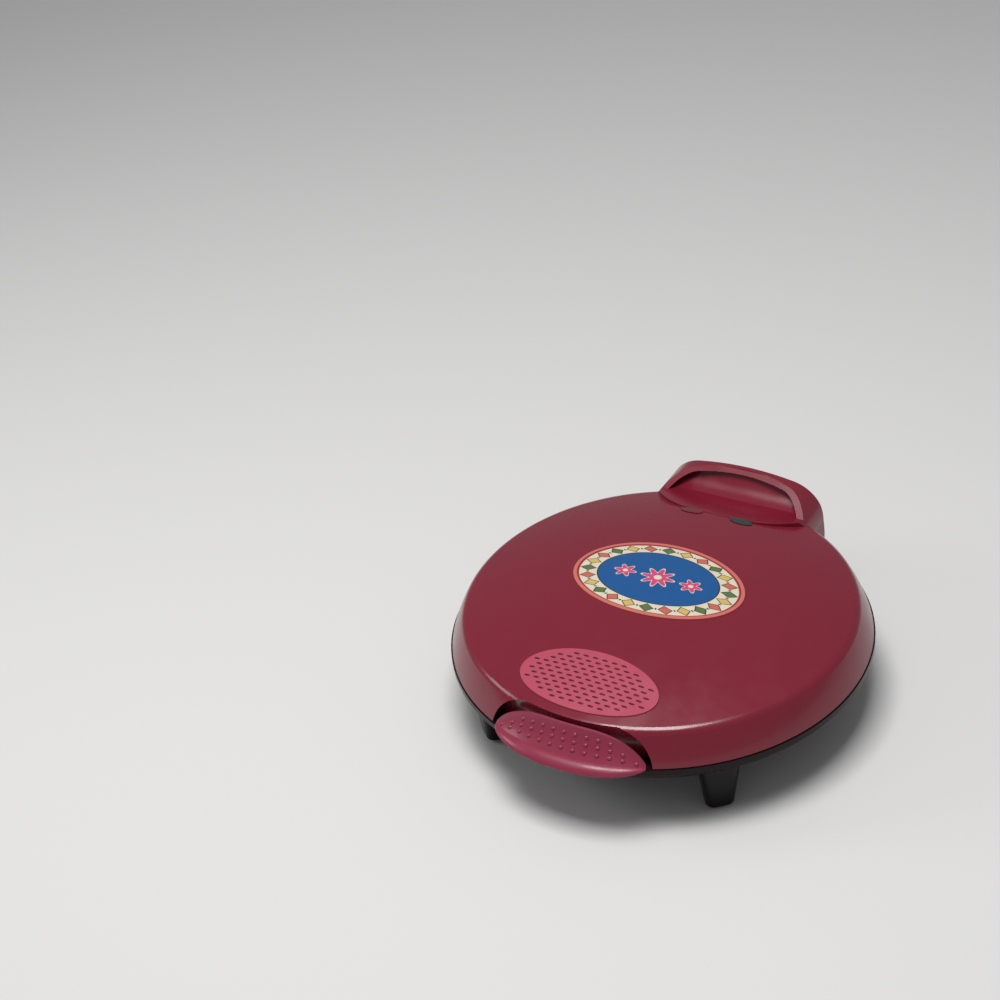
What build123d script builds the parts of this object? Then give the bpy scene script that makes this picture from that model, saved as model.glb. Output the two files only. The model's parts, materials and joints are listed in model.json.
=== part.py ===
from build123d import *

import os
from math import asin, cos, degrees, radians, sin, sqrt

os.makedirs("parts", exist_ok=True)

# A round countertop quesadilla maker, closed. Millimetres, +Z up, -Y is the handle side, +Y the hinge side.
# Z = 0 is the table. The discs share one upright axis, DISC_Y behind the middle of the whole part.

# Driving dimensions: the outline
RIM_R = 151.2
LIP_REACH = RIM_R + 11.3  # disc axis to the outer edge of the latch handle
REAR_REACH = RIM_R + 0.8  # disc axis to the flat back that the maker stands on when stored on edge
DISC_Y = (LIP_REACH - REAR_REACH) / 2
PARTING_Z = 53.0  # height of the seam between lid and base
PARTING_GAP = 0.8
CREASE_R = RIM_R - 11.2  # where the dome of the lid turns down into the skirt
CREASE_Z = 77.0
CREASE_ROUND = 8.0
CROWN_H = 21.0  # rise of the dome above the crease
SKIRT_R = RIM_R - 0.9
SKIRT_BULGE = 0.6
LID_WALL = 2.5
CROWN_Z = CREASE_Z + CROWN_H
DOME_R = (CREASE_R**2 + CROWN_H**2) / (2 * CROWN_H)

# Driving dimensions: the base
RIM_BAND = 4.0  # upright band of the rim, below the seam
BASE_HIP = (RIM_R - 3.2, 44.0)  # where the round side of the bowl meets the slanted foot of its rim
BASE_FLOOR_R = RIM_R - 56.2
BASE_FLOOR_Z = 20.0
BASE_WALL = 2.5
BACK_HALF_W = 64.0  # half width of the flat back block of the base
BACK_LOW_Z = 25.0
BACK_TOP_Z = 43.5
BACK_ROUND = 6.0
BACK_FLOOR_T = 2.5

# Driving dimensions: the hinge tower of the lid
TOWER_FOOT_HALF_W = 65.5
TOWER_SIDE_HALF_W = 63.2
TOWER_SIDE_Z = 66.0
TOWER_HIP = (55.5, 84.8)
TOWER_SHOULDER = (38.0, 94.2)
TOWER_TOP_Z = 97.5
TOWER_TOP_T = 4.0
TOWER_WALL = 2.5
TOWER_BACK_ROUND = 7.0  # upright rear corners
SCOOP_FOOT_HALF_W = 58.5  # hollow front of the tower: half width at its foot, then up its side to the top
SCOOP_SIDE = (57.0, 73.0)
SCOOP_HIP = (48.0, 86.5)
SCOOP_SHOULDER = (34.0, 92.6)
SCOOP_TOP_Z = 94.8
SCOOP_FOOT_Y = REAR_REACH - 21.5
SCOOP_HOLLOW = 2.6  # how far the scooped face is bowed inwards
SCOOP_ROUND = 6.0
DECK_FRONT_Y = REAR_REACH - 53.0  # soft edge where the dome meets the flat deck in front of the tower
DECK_FRONT_HALF_W = 28.0
DECK_HIP = (52.0, DECK_FRONT_Y + 13.5)
DECK_SLOPE = 0.236
DECK_RISE = 0.2
CHEEK_Y = REAR_REACH - 28.0  # where the cheeks leave the deck
CHEEK_CREST = (REAR_REACH - 14.0, 91.0)
CHEEK_TOP_DROP = 0.8

# Driving dimensions: the hinge
BARREL_R = 6.5
BARREL_HALF_L = 49.5
LUG_GAP = 0.7
LUG_T = 12.0
LUG_FOOT = 14.0
HINGE_CLEAR = 0.5
HINGE_Y = REAR_REACH - BARREL_R
HINGE_Z = PARTING_Z
TUBE_R = 3.5
TUBE_BORE_R = 2.2
TUBE_L = 19.0
RUNNING_CLEAR = 0.05
CHAMBER_R = 4.6  # hollow of the barrel, where the wires turn into the lid
CHAMBER_HALF_L = 41.0

# Driving dimensions: the plates
PLATE_R = RIM_R - 17.2
PLATE_CLEAR = 0.4
FLANGE_T = 3.0
LEDGE_R = PLATE_R - 6.5
LEDGE_T = 2.4
RISER_T = 2.5
PLATE_T = 3.2
POCKET_DEPTH = 6.4
POCKET_R = PLATE_R - 26.0
RIDGE_COUNT = 6
RIDGE_DROP = 0.6  # ridge crest below the rim of its plate
RIDGE_HALF_W = (2.5, 14.0)  # at the hub and at the rim
RIDGE_SPAN = (5.0, POCKET_R + 1.0)
CREST_HALF_W = 0.8

# Driving dimensions: heating
ELEMENT_R = PLATE_R - 50.0
ELEMENT_TUBE_R = 3.25
ELEMENT_OPEN_DEG = 20.0  # half of the gap between the two ends
ELEMENT_BEND_R = 8.0
ELEMENT_TAIL = 4.0
TERMINAL_R = 1.4
TERMINAL_L = 5.0
CLAMP_COUNT = 3
CLAMP_T = 1.5
CLAMP_W = 9.0
CLAMP_REACH = 12.0  # from the element's centre line to each clamp screw
POST_R = 4.0
SHIELD_R = PLATE_R - 16.0
SHIELD_T = 1.0
SHIELD_DROP = 11.5  # plate underside to the shield's inner face
SHIELD_POST_R = ELEMENT_R - 34.0  # pitch radius of the three posts that carry the shield
SENSOR_AT = (30.0, 40.0)
SENSOR_R = 8.5
SENSOR_CLEAR = 1.5
SCREW_R = 1.5
SCREW_HEAD_R = 2.8
SCREW_HEAD_T = 1.8
SCREW_BITE = 5.0
SMALL_HEAD = (1.9, 0.9)  # radius and height of the small screw heads
SCREW_CLEAR = 0.15
PLATE_SCREW_DEGS = (45.0, 135.0, 225.0, 315.0)

# Driving dimensions: legs
LEG_PITCH_R = RIM_R - 19.6
LEG_DEG = 42.26  # from the front or back
LEG_X = LEG_PITCH_R * sin(radians(LEG_DEG))
LEG_Y = LEG_PITCH_R * cos(radians(LEG_DEG))
LEG_TOP = (24.0, 17.0)  # along the rim and across it
LEG_TOE = (20.0, 13.0)
LEG_ROUND = 6.0
LEG_TOE_ROUND = 1.5
LEG_HIGH_Z = 39.0  # above the bowl's surface over the legs
FOOT_PAD = (14.0, 7.5)
FOOT_PAD_ROUND = 3.0
FOOT_PAD_T = 2.0
FOOT_PAD_SINK = 1.0
LEG_BOSS_R = 5.0
LEG_SCREW_SEAT_Z = 36.5
LEG_SCREW_L = 18.0

# Driving dimensions: front bay, latch handle and hook
BAY_R = RIM_R - 13.2
BAY_WALL = 2.5
BAY_HALF_W = 61.0
BAY_SHOULDER = (38.0, 77.0)
BAY_HIP = (53.5, 68.0)
BAY_TOP_Z = 81.0
HANDLE_HALF_W = 57.6
HANDLE_TIP_Z = 53.9
HANDLE_TAPER = (3.2, 0.72)  # exponents of the rounded outline towards the tips
HANDLE_SECTIONS = (-0.985, -0.93, -0.82, -0.62, -0.33, 0.0, 0.33, 0.62, 0.82, 0.93, 0.985)
LATCH_R = RIM_R - 8.0
LATCH_Z = 60.0
LATCH_PIN_R = 1.5
LATCH_PIN_L = 36.0
LATCH_EAR_R = 2.7
LATCH_LUG_R = 3.2
LATCH_EAR_T = 3.2
LATCH_LUG_X = 10.0
LATCH_LUG_T = 3.6
LATCH_SIDE_GAP = 0.3
HOOK_W = 14.0
HOOK_T = 1.6
HOOK_BACK_Y = LATCH_R - 3.9
HOOK_TOP_Z = 56.5
HOOK_FLANGE_Y = LATCH_R + 6.8
HOOK_SCREW_R = 1.0
HOOK_SCREWS = [(x, -LATCH_R - 4.3) for x in (-4.0, 4.0)]
HOOK_TOE_Z = 43.5
HOOK_NOSE = 1.6
HOOK_NOSE_T = 1.7
HOOK_SLOT_FRONT = RIM_R - 5.2
WEB_T = 1.6
LATCH_LUG_REACH = (5.0, 9.3)  # how far each lug runs forward of the pin, at its top and at its foot
LATCH_LUG_STEP = 0.8
CATCH_T = 1.8
CATCH_W = 24.0
CATCH_SCREW_R = 1.2
CATCH_BACK_Y = LEDGE_R + 1.1
CATCH_REACH = 0.3  # gap from the catch's edge to the hook's shank
SPRING_R = 2.7
SPRING_HALF_L = 9.0
SPRING_WIRE_R = 0.5
SPRING_LEG_L = 3.5

# Driving dimensions: badge, grip pad and lights, as ovals on the dome
BADGE = (64.2, 40.8)
BADGE_RING_W = 2.6
BADGE_RING_RISE = 0.7
BADGE_RISE = 0.25
PAD_Y = -(RIM_R - 43.5)
PAD = (51.2, 24.3)
PAD_RISE = 1.0
INSET_DEPTH = 0.9
INSET_CLEAR = 0.15
LENS_X = 19.9
LENS_Y = DECK_FRONT_Y - 1.5
LENS = (8.9, 4.2)
LENS_RISE = 0.6
LAMP_R = 2.0
HOLDER = (60.0, 12.0, 1.6)
HOLDER_SCREW_R = 1.0
HOLDER_SCREW_BITE = 3.0
HOLDER_DROP = 5.0  # dome's inner face above the lamp holder
HOLDER_POST_X = 34.0
HOLDER_POST_R = 2.6

# Driving dimensions: electrical pieces in the base
BLOCK = (26.0, 11.0, 10.0)
BLOCK_X = -4.0
BLOCK_SCREW_R = 1.8
THERMOSTAT_H = 14.0
BLADE = (1.0, 4.6, 3.2)
BLADE_X = 4.0
FUSE_R = 2.2
FUSE_L = 22.0
GLAND_X = 45.0
GLAND_R = 5.0
GLAND_BORE_R = 3.2
GLAND_LIP_R = 6.6
GLAND_LIP_T = 1.5
GLAND_L = 8.0
GLAND_Y = REAR_REACH - 11.0
WIRE_R = 0.9
WIRE_Y = HINGE_Y - 1.2
WIRE_BEND_R = 2.0
WIRE_RISE_X = 56.0  # where the wires climb into the hinge tubes
WIRE_HOLE_R = 1.2

DISC_AXIS = Axis((0, DISC_Y, 0), (0, 0, 1))


def level(z):
    """A horizontal plane whose origin is on the disc axis."""
    return Plane((0, DISC_Y, z))


def across(x):
    """An upright plane seen from the right: local x runs backwards from the disc axis, local y is height."""
    return Plane((x, DISC_Y, 0), x_dir=(0, 1, 0), z_dir=(1, 0, 0))


def facing(y):
    """An upright plane seen from the front, y behind the disc axis; it extrudes towards the front."""
    return Plane((0, DISC_Y + y, 0), x_dir=(1, 0, 0), z_dir=(0, -1, 0))


def spoke(angle):
    """An upright plane through the disc axis, turned by angle from the front; local x is the radius."""
    out = (sin(radians(angle)), -cos(radians(angle)), 0)
    return Plane((0, DISC_Y, 0), x_dir=out, z_dir=(out[1], -out[0], 0))


def dome_z(x, y):
    """Height of the dome's outer face at a place given from the disc axis."""
    return CROWN_Z - DOME_R + sqrt(DOME_R**2 - x**2 - y**2)


def dome_ball(rise):
    """A ball whose face lies rise above the dome."""
    with BuildPart(Plane((0, DISC_Y, CROWN_Z - DOME_R))) as ball:
        Sphere(DOME_R + rise)
    return ball.part


def rod(points, radius, bend):
    """A round rod or wire along a path of straight runs with one bend radius; heights are from the table."""
    path = [(x, DISC_Y + y, z) for x, y, z in points]
    with BuildPart() as piece:
        with BuildLine():
            line = FilletPolyline(*path, radius=bend) if len(path) > 2 else Line(*path)
        with BuildSketch(Plane(line @ 0, z_dir=line % 0)):
            Circle(radius)
        sweep(path=line)
    return piece.part


def screws(points, seat_z, length, radius=SCREW_R, head=(SCREW_HEAD_R, SCREW_HEAD_T)):
    """Upright screws: shanks rise from seat_z by length, or drop if it is negative; heads opposite."""
    head_t = -head[1] if length > 0 else head[1]
    with BuildPart() as group:
        with BuildSketch(level(seat_z)):
            with Locations(*points):
                Circle(head[0])
        extrude(amount=head_t)
        with BuildSketch(level(seat_z)):
            with Locations(*points):
                Circle(radius)
        extrude(amount=length)
    return group


def save(piece, name):
    """Labels a finished piece and writes its STEP file."""
    piece.part.label = name
    export_step(piece.part, f"parts/{name}.step")


# ---------------------------------------------------------------- lid shell
LID_LOW_Z = PARTING_Z + PARTING_GAP / 2
BASE_HIGH_Z = PARTING_Z - PARTING_GAP / 2
SEAT_R = PLATE_R + PLATE_CLEAR
RISER_R = SEAT_R + RISER_T
LID_LEDGE_Z = LID_LOW_Z + FLANGE_T
BASE_LEDGE_Z = BASE_HIGH_Z - FLANGE_T


def dome_profile(inset, low):
    """Half section of the lid, drawn inset from its outer face and cut off at height low."""
    crown = CROWN_Z - inset
    dome = DOME_R - inset
    crease_r = CREASE_R - inset * 0.75
    crease_z = CROWN_Z - DOME_R + sqrt(dome**2 - crease_r**2)
    skirt_r = SKIRT_R - inset
    half_r = crease_r / 2
    half_z = CROWN_Z - DOME_R + sqrt(dome**2 - half_r**2)
    bulge = ((crease_r + skirt_r) / 2 + SKIRT_BULGE, (crease_z + low) / 2 + SKIRT_BULGE / 2)
    with BuildSketch(spoke(90)) as profile:
        with BuildLine():
            ThreePointArc((0, crown), (half_r, half_z), (crease_r, crease_z))
            ThreePointArc((crease_r, crease_z), bulge, (skirt_r, low))
            Polyline((skirt_r, low), (0, low), (0, crown))
        make_face()
        corner = profile.vertices().sort_by_distance((crease_r, crease_z, 0))[0]
        fillet(corner, CREASE_ROUND - inset)
    return profile.sketch


def tower_outline(inset, low):
    """Front view of the hinge tower, drawn inset from its edge."""
    side = TOWER_SIDE_HALF_W - inset
    foot = TOWER_FOOT_HALF_W - inset
    hip = (TOWER_HIP[0] - inset * 0.8, TOWER_HIP[1] - inset * 0.6)
    shoulder = (TOWER_SHOULDER[0] - inset * 0.3, TOWER_SHOULDER[1] - inset)
    top = (0, TOWER_TOP_Z - inset)
    with BuildSketch(facing(REAR_REACH + 1)) as outline:
        with BuildLine() as edge:
            Line((foot, low), (side, TOWER_SIDE_Z))
            ThreePointArc((side, TOWER_SIDE_Z), hip, shoulder)
            ThreePointArc(shoulder, top, (-shoulder[0], shoulder[1]))
            ThreePointArc((-shoulder[0], shoulder[1]), (-hip[0], hip[1]), (-side, TOWER_SIDE_Z))
            Polyline((-side, TOWER_SIDE_Z), (-foot, low), (foot, low))
        make_face()
    return outline.sketch


def tower_plan(inset, z):
    """Plan of the tower and its deck: soft curve in front, straight sides, flat back with round corners."""
    front = DECK_FRONT_Y + inset
    half = DECK_FRONT_HALF_W - inset / 2
    side = TOWER_FOOT_HALF_W - inset
    back = REAR_REACH - inset
    turn_y = DECK_FRONT_Y + 33 + inset
    hip = (DECK_HIP[0] - inset * 0.7, DECK_HIP[1] + inset * 0.7)
    with BuildSketch(level(z)) as plan:
        with BuildLine():
            ThreePointArc((-half, front + 1.5), (0, front), (half, front + 1.5))
            ThreePointArc((half, front + 1.5), hip, (side, turn_y))
            Polyline((side, turn_y), (side, back), (-side, back), (-side, turn_y))
            ThreePointArc((-side, turn_y), (-hip[0], hip[1]), (-half, front + 1.5))
        make_face()
        corners = [plan.vertices().sort_by_distance((x, back, 0))[0] for x in (side, -side)]
        fillet(corners, TOWER_BACK_ROUND - inset)
    return plan.sketch


def deck_z(y, inset=0.0):
    """Height of the flat deck at a distance y behind the disc axis."""
    return dome_z(0, DECK_FRONT_Y) + DECK_RISE - DECK_SLOPE * (y - DECK_FRONT_Y) - inset


def tower_side(inset, low):
    """Side view of the deck, the cheeks and the tower, drawn inset from the outer face."""
    start = DECK_FRONT_Y - 6
    back = REAR_REACH + 1 - inset
    lip = (REAR_REACH - TOWER_TOP_T - inset, TOWER_TOP_Z - CHEEK_TOP_DROP - inset)
    foot = (CHEEK_Y + inset, deck_z(CHEEK_Y, inset))
    with BuildSketch(across(-TOWER_FOOT_HALF_W - 1)) as side:
        with BuildLine():
            Polyline((start, low), (start, deck_z(start, inset)), foot)
            ThreePointArc(foot, (CHEEK_CREST[0] + inset * 0.8, CHEEK_CREST[1] - inset * 0.8), lip)
            Polyline(lip, (lip[0] + 1, TOWER_TOP_Z + 1 - inset), (back, TOWER_TOP_Z + 1 - inset))
            Polyline((back, TOWER_TOP_Z + 1 - inset), (back, low), (start, low))
        make_face()
    return side.sketch


def tower_block(inset, low):
    """The tower with its deck as one block, inset from its outer face."""
    with BuildPart() as block:
        extrude(tower_outline(inset, low), amount=REAR_REACH - DECK_FRONT_Y + 12)
        extrude(tower_plan(inset, low), amount=CROWN_Z, mode=Mode.INTERSECT)
        extrude(tower_side(inset, low), amount=2 * TOWER_FOOT_HALF_W + 2, mode=Mode.INTERSECT)
    return block.part


def scoop_block(inset):
    """What is scooped out of the tower's front, grown by inset to leave the wall behind it."""
    foot = (SCOOP_FOOT_Y + inset, deck_z(SCOOP_FOOT_Y) - inset)
    top = (REAR_REACH - TOWER_TOP_T, SCOOP_TOP_Z + 1)
    bow = ((foot[0] + top[0]) / 2 + SCOOP_HOLLOW, (foot[1] + top[1]) / 2 - SCOOP_HOLLOW)
    front = CHEEK_Y - 12
    low = SCOOP_SIDE[1] - 6
    wide = inset * 1.4
    shoulder = (SCOOP_SHOULDER[0] + inset / 2, SCOOP_SHOULDER[1] + inset)
    hip = (SCOOP_HIP[0] + wide * 0.8, SCOOP_HIP[1] + inset * 0.7)
    side = (SCOOP_SIDE[0] + wide, SCOOP_SIDE[1])
    with BuildPart() as scoop:
        with BuildSketch(across(-TOWER_FOOT_HALF_W)):
            with BuildLine():
                Polyline((front, deck_z(front) - inset), foot)
                ThreePointArc(foot, bow, top)
                Polyline(top, (front, top[1]), (front, deck_z(front) - inset))
            make_face()
        extrude(amount=2 * TOWER_FOOT_HALF_W)
        with BuildSketch(facing(REAR_REACH)):
            with BuildLine():
                ThreePointArc((-shoulder[0], shoulder[1]), (0, SCOOP_TOP_Z + inset), shoulder)
                ThreePointArc(shoulder, hip, side)
                Line(side, (SCOOP_FOOT_HALF_W + wide, low))
                Line((SCOOP_FOOT_HALF_W + wide, low), (-SCOOP_FOOT_HALF_W - wide, low))
                Line((-SCOOP_FOOT_HALF_W - wide, low), (-side[0], side[1]))
                ThreePointArc((-side[0], side[1]), (-hip[0], hip[1]), (-shoulder[0], shoulder[1]))
            make_face()
        extrude(amount=REAR_REACH - front, mode=Mode.INTERSECT)
    return scoop.part


def bay_outline(grow):
    """Front view of the arched bay for the latch handle."""
    shoulder = (BAY_SHOULDER[0] + grow * 0.5, BAY_SHOULDER[1] + grow)
    hip = (BAY_HIP[0] + grow * 0.8, BAY_HIP[1] + grow * 0.6)
    low = PARTING_Z - 1
    with BuildSketch(facing(-BAY_R + 40)) as outline:
        with BuildLine():
            ThreePointArc((BAY_HALF_W + grow, low), hip, shoulder)
            ThreePointArc(shoulder, (0, BAY_TOP_Z + grow), (-shoulder[0], shoulder[1]))
            ThreePointArc((-shoulder[0], shoulder[1]), (-hip[0], hip[1]), (-BAY_HALF_W - grow, low))
            Line((-BAY_HALF_W - grow, low), (BAY_HALF_W + grow, low))
        make_face()
    return outline.sketch


def bay_block(grow, inner_r):
    """The space of the bay outside radius inner_r."""
    with BuildPart() as block:
        extrude(bay_outline(grow), amount=RIM_R)
        with BuildSketch(level(0)):
            Circle(inner_r)
        extrude(amount=CROWN_Z, mode=Mode.SUBTRACT)
    return block.part


def hinge_cylinder(radius, x_from, x_to):
    """A cylinder about the hinge axis."""
    with BuildPart() as cylinder:
        with BuildSketch(across(x_from)):
            with Locations((HINGE_Y, HINGE_Z)):
                Circle(radius)
        extrude(amount=x_to - x_from)
    return cylinder.part


def oval_on_dome(size, centre, low_rise, high_rise, hole=None):
    """An oval plate that follows the dome, between two heights over its face."""
    with BuildPart() as oval:
        with BuildSketch(level(CREASE_Z - 6)):
            with Locations(centre):
                Ellipse(*size)
                if hole:
                    Ellipse(*hole, mode=Mode.SUBTRACT)
        extrude(amount=CROWN_H + 16)
        add(dome_ball(high_rise), mode=Mode.INTERSECT)
        add(dome_ball(low_rise), mode=Mode.SUBTRACT)
    return oval.part


LUG_IN_X = BARREL_HALF_L + LUG_GAP
LUG_OUT_X = LUG_IN_X + LUG_T
SKIN_INNER_LOW_Z = LID_LOW_Z + LID_WALL
HOLDER_Z = dome_z(LENS_X, LENS_Y) - LID_WALL - HOLDER_DROP

with BuildPart() as outer:
    revolve(dome_profile(0, LID_LOW_Z), axis=DISC_AXIS)
    add(tower_block(0, LID_LOW_Z))
    add(scoop_block(0), mode=Mode.SUBTRACT)
    scoop_foot = (0, DISC_Y + SCOOP_FOOT_Y, deck_z(SCOOP_FOOT_Y))
    fillet(outer.edges().sort_by_distance(scoop_foot)[0], SCOOP_ROUND)

with BuildPart() as tower_hollow:
    add(tower_block(TOWER_WALL, SKIN_INNER_LOW_Z))
    add(scoop_block(TOWER_WALL), mode=Mode.SUBTRACT)
    with BuildSketch(level(0)):
        Circle(SEAT_R + RISER_T)
    extrude(amount=deck_z(REAR_REACH), mode=Mode.SUBTRACT)

with BuildPart() as bay_wall:
    add(bay_block(BAY_WALL, BAY_R - BAY_WALL))
    add(outer.part, mode=Mode.INTERSECT)

with BuildPart() as lid_shell:
    add(outer.part)
    revolve(dome_profile(LID_WALL, SKIN_INNER_LOW_Z), axis=DISC_AXIS, mode=Mode.SUBTRACT)
    add(tower_hollow.part, mode=Mode.SUBTRACT)
    # the open middle, then the riser and the ledge that the upper plate seats in
    with BuildSketch(level(0)):
        Circle(LEDGE_R)
    extrude(amount=SKIN_INNER_LOW_Z + 1, mode=Mode.SUBTRACT)
    with BuildSketch(level(LID_LOW_Z)):
        Circle(RISER_R)
        Circle(SEAT_R, mode=Mode.SUBTRACT)
    extrude(amount=FLANGE_T + LEDGE_T)
    with BuildSketch(level(LID_LEDGE_Z)):
        Circle(RISER_R)
        Circle(LEDGE_R, mode=Mode.SUBTRACT)
    extrude(amount=LEDGE_T)
    with BuildSketch(level(0)):
        Circle(SEAT_R)
    extrude(amount=LID_LEDGE_Z, mode=Mode.SUBTRACT)
    # the arched bay: a wall all round it, then its opening
    add(bay_wall.part)
    add(bay_block(0, BAY_R), mode=Mode.SUBTRACT)
    # the ears that hold the latch pin
    ear_x = LATCH_LUG_X + LATCH_LUG_T + LATCH_SIDE_GAP
    for start in (ear_x, -ear_x - LATCH_EAR_T):
        with BuildSketch(across(start)):
            with Locations((-LATCH_R, LATCH_Z)):
                Circle(LATCH_EAR_R)
            with Locations((-(LATCH_R + BAY_R - 1.5) / 2, LATCH_Z)):
                Rectangle(LATCH_R - BAY_R + 1.5, 2 * LATCH_EAR_R)
            with Locations((-LATCH_R, LATCH_Z)):
                Circle(LATCH_PIN_R, mode=Mode.SUBTRACT)
        extrude(amount=LATCH_EAR_T)
    # the hinge barrel, hollow for the wires, with room beside it for the lugs of the base
    add(hinge_cylinder(BARREL_R, -BARREL_HALF_L, BARREL_HALF_L))
    add(hinge_cylinder(CHAMBER_R, -CHAMBER_HALF_L, CHAMBER_HALF_L), mode=Mode.SUBTRACT)
    add(hinge_cylinder(TUBE_R + RUNNING_CLEAR, -BARREL_HALF_L, BARREL_HALF_L), mode=Mode.SUBTRACT)
    for side in (-1, 1):
        reach = sorted((side * BARREL_HALF_L, side * (LUG_OUT_X + LUG_GAP)))
        add(hinge_cylinder(BARREL_R + HINGE_CLEAR, *reach), mode=Mode.SUBTRACT)
    with BuildSketch(level(HINGE_Z)):
        with Locations((0, HINGE_Y)):
            Rectangle(CHAMBER_HALF_L, CHAMBER_R * 1.2)
    extrude(amount=BARREL_R + LID_WALL, mode=Mode.SUBTRACT)
    # two posts for the lamp holder
    with BuildSketch(level(HOLDER_Z + HOLDER[2])):
        with Locations((-HOLDER_POST_X, LENS_Y), (HOLDER_POST_X, LENS_Y)):
            Circle(HOLDER_POST_R)
    extrude(amount=HOLDER_DROP - HOLDER[2] + LID_WALL / 2)
    with BuildSketch(level(HOLDER_Z + HOLDER[2])):
        with Locations((-HOLDER_POST_X, LENS_Y), (HOLDER_POST_X, LENS_Y)):
            Circle(HOLDER_SCREW_R)
    extrude(amount=HOLDER_SCREW_BITE, mode=Mode.SUBTRACT)
    # seats of the badge, the grip pad and the two lenses
    badge_seat = (BADGE[0] + INSET_CLEAR, BADGE[1] + INSET_CLEAR)
    add(oval_on_dome(badge_seat, (0, 0), -INSET_DEPTH, INSET_CLEAR), mode=Mode.SUBTRACT)
    pad_seat = (PAD[0] + INSET_CLEAR, PAD[1] + INSET_CLEAR)
    add(oval_on_dome(pad_seat, (0, PAD_Y), -INSET_DEPTH, INSET_CLEAR), mode=Mode.SUBTRACT)
    with BuildSketch(level(HOLDER_Z + HOLDER_DROP - 2)):
        with Locations((-LENS_X, LENS_Y), (LENS_X, LENS_Y)):
            Ellipse(LENS[0] + INSET_CLEAR, LENS[1] + INSET_CLEAR)
    extrude(amount=CROWN_H, mode=Mode.SUBTRACT)
    # screw holes in the ledge
    with BuildSketch(level(LID_LEDGE_Z)):
        with PolarLocations((LEDGE_R + SEAT_R) / 2, len(PLATE_SCREW_DEGS), start_angle=PLATE_SCREW_DEGS[0]):
            Circle(SCREW_R + SCREW_CLEAR)
    extrude(amount=LEDGE_T, mode=Mode.SUBTRACT)
save(lid_shell, "lid_shell")

# ---------------------------------------------------------------- what sits on the lid
with BuildPart() as badge_ring:
    hole = (BADGE[0] - BADGE_RING_W, BADGE[1] - BADGE_RING_W)
    add(oval_on_dome(BADGE, (0, 0), -INSET_DEPTH, BADGE_RING_RISE, hole))
save(badge_ring, "badge_ring")

with BuildPart() as badge_plate:
    add(oval_on_dome(hole, (0, 0), -INSET_DEPTH, BADGE_RISE))
save(badge_plate, "badge_plate")

with BuildPart() as thumb_pad:
    add(oval_on_dome(PAD, (0, PAD_Y), -INSET_DEPTH, PAD_RISE))
save(thumb_pad, "thumb_pad")

for name, x in (("power", -LENS_X), ("ready", LENS_X)):
    with BuildPart() as lens:
        add(oval_on_dome(LENS, (x, LENS_Y), -LID_WALL, LENS_RISE))
    save(lens, f"{name}_light_lens")
    with BuildPart() as lamp:
        with BuildSketch(level(HOLDER_Z + HOLDER[2])):
            with Locations((x, LENS_Y)):
                Circle(LAMP_R)
        extrude(amount=HOLDER_DROP - HOLDER[2] - LAMP_R / 2 - 0.5)
        fillet(lamp.edges().filter_by(GeomType.CIRCLE).sort_by(Axis.Z)[-1], LAMP_R / 2)
    save(lamp, f"{name}_lamp")

with BuildPart() as lamp_holder:
    with BuildSketch(level(HOLDER_Z)):
        with Locations((0, LENS_Y)):
            RectangleRounded(2 * (HOLDER_POST_X + HOLDER_POST_R + 1.5), HOLDER[1], HOLDER[1] / 3)
        with Locations((-HOLDER_POST_X, LENS_Y), (HOLDER_POST_X, LENS_Y)):
            Circle(HOLDER_SCREW_R, mode=Mode.SUBTRACT)
    extrude(amount=HOLDER[2])
save(lamp_holder, "lamp_holder")

HOLDER_SCREWS = [(-HOLDER_POST_X, LENS_Y), (HOLDER_POST_X, LENS_Y)]
save(
    screws(HOLDER_SCREWS, HOLDER_Z, HOLDER[2] + HOLDER_SCREW_BITE, HOLDER_SCREW_R, SMALL_HEAD),
    "holder_screws",
)

# ---------------------------------------------------------------- plates and heating, lower set first
FLOOR_Z = BASE_HIGH_Z - POCKET_DEPTH
UNDER_Z = FLOOR_Z - PLATE_T
ELEMENT_Z = UNDER_Z - ELEMENT_TUBE_R
CLAMP_Z = ELEMENT_Z - ELEMENT_TUBE_R - CLAMP_T
SHIELD_Z = UNDER_Z - SHIELD_DROP - SHIELD_T
CLAMP_DEGS = [-90 + 360 / CLAMP_COUNT * i for i in range(CLAMP_COUNT)]
CLAMP_SCREWS = [
    (r * cos(radians(a)), r * sin(radians(a)))
    for a in CLAMP_DEGS
    for r in (ELEMENT_R - CLAMP_REACH, ELEMENT_R + CLAMP_REACH)
]
SHIELD_POSTS = [(SHIELD_POST_R * cos(radians(a)), SHIELD_POST_R * sin(radians(a))) for a in CLAMP_DEGS]
PLATE_SCREWS = [
    ((LEDGE_R + SEAT_R) / 2 * cos(radians(a)), (LEDGE_R + SEAT_R) / 2 * sin(radians(a)))
    for a in PLATE_SCREW_DEGS
]
ELBOW_R = sqrt(ELEMENT_R**2 + ELEMENT_BEND_R**2)
ELBOW_DEG = ELEMENT_OPEN_DEG - degrees(asin(ELEMENT_BEND_R / ELBOW_R))
TAILS = [
    (side * ELBOW_R * sin(radians(ELBOW_DEG)), ELBOW_R * cos(radians(ELBOW_DEG)))
    for side in (-1, 1)
]


def mirrored(piece):
    """The same piece on the other side of the seam."""
    with BuildPart() as copy:
        mirror(piece.part, about=Plane((0, 0, PARTING_Z)))
    return copy


def save_pair(piece, name):
    """Writes the lower piece and the upper one that mirrors it."""
    save(piece, f"lower_{name}")
    save(mirrored(piece), f"upper_{name}")


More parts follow.
